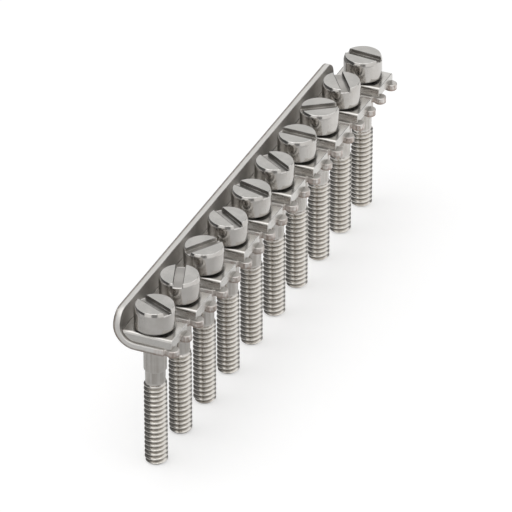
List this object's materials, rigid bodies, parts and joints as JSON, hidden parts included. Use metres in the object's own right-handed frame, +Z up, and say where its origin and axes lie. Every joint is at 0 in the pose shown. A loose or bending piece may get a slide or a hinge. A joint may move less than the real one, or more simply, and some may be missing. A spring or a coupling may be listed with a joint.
{
  "type": "terminal shorting jumper",
  "caption": "Comb bar of folded sheet metal that links a row of screw terminals, with a captive slotted screw and a rectangular clamp washer at each forked tab.",
  "frame": {"origin": "centre of the footprint, on the plane of the screw tips", "axes": "+X from the flange to the fork ends, +Y along the row from the full end of the flange to its short end, +Z up along the screws towards their heads"},
  "size_m": [0.0115, 0.0994, 0.031],
  "materials": {
    "bar": "bright plated sheet, fine rolling grain",
    "washer": "bright plated, tumbled edges",
    "screw": "bright plated, turned"
  },
  "bodies": {
    "bar": {"jumper_bar": "bar", "clamp_washer_01": "washer", "clamp_washer_02": "washer", "clamp_washer_03": "washer", "clamp_washer_04": "washer", "clamp_washer_05": "washer", "clamp_washer_06": "washer", "clamp_washer_07": "washer", "clamp_washer_08": "washer", "clamp_washer_09": "washer", "clamp_washer_10": "washer"},
    "screw_01": {"terminal_screw_01": "screw"},
    "screw_02": {"terminal_screw_02": "screw"},
    "screw_03": {"terminal_screw_03": "screw"},
    "screw_04": {"terminal_screw_04": "screw"},
    "screw_05": {"terminal_screw_05": "screw"},
    "screw_06": {"terminal_screw_06": "screw"},
    "screw_07": {"terminal_screw_07": "screw"},
    "screw_08": {"terminal_screw_08": "screw"},
    "screw_09": {"terminal_screw_09": "screw"},
    "screw_10": {"terminal_screw_10": "screw"}
  },
  "joints": [
    {"name": "screw_01_turn", "type": "hinge", "parent": "bar", "child": "screw_01", "pos_m": [0.0002, -0.0459, 0.02355], "axis": [0, 0, 1], "continuous": true},
    {"name": "screw_02_turn", "type": "hinge", "parent": "bar", "child": "screw_02", "pos_m": [0.0002, -0.0357, 0.02355], "axis": [0, 0, 1], "continuous": true},
    {"name": "screw_03_turn", "type": "hinge", "parent": "bar", "child": "screw_03", "pos_m": [0.0002, -0.0255, 0.02355], "axis": [0, 0, 1], "continuous": true},
    {"name": "screw_04_turn", "type": "hinge", "parent": "bar", "child": "screw_04", "pos_m": [0.0002, -0.0153, 0.02355], "axis": [0, 0, 1], "continuous": true},
    {"name": "screw_05_turn", "type": "hinge", "parent": "bar", "child": "screw_05", "pos_m": [0.0002, -0.0051, 0.02355], "axis": [0, 0, 1], "continuous": true},
    {"name": "screw_06_turn", "type": "hinge", "parent": "bar", "child": "screw_06", "pos_m": [0.0002, 0.0051, 0.02355], "axis": [0, 0, 1], "continuous": true},
    {"name": "screw_07_turn", "type": "hinge", "parent": "bar", "child": "screw_07", "pos_m": [0.0002, 0.0153, 0.02355], "axis": [0, 0, 1], "continuous": true},
    {"name": "screw_08_turn", "type": "hinge", "parent": "bar", "child": "screw_08", "pos_m": [0.0002, 0.0255, 0.02355], "axis": [0, 0, 1], "continuous": true},
    {"name": "screw_09_turn", "type": "hinge", "parent": "bar", "child": "screw_09", "pos_m": [0.0002, 0.0357, 0.02355], "axis": [0, 0, 1], "continuous": true},
    {"name": "screw_10_turn", "type": "hinge", "parent": "bar", "child": "screw_10", "pos_m": [0.0002, 0.0459, 0.02355], "axis": [0, 0, 1], "continuous": true}
  ]
}
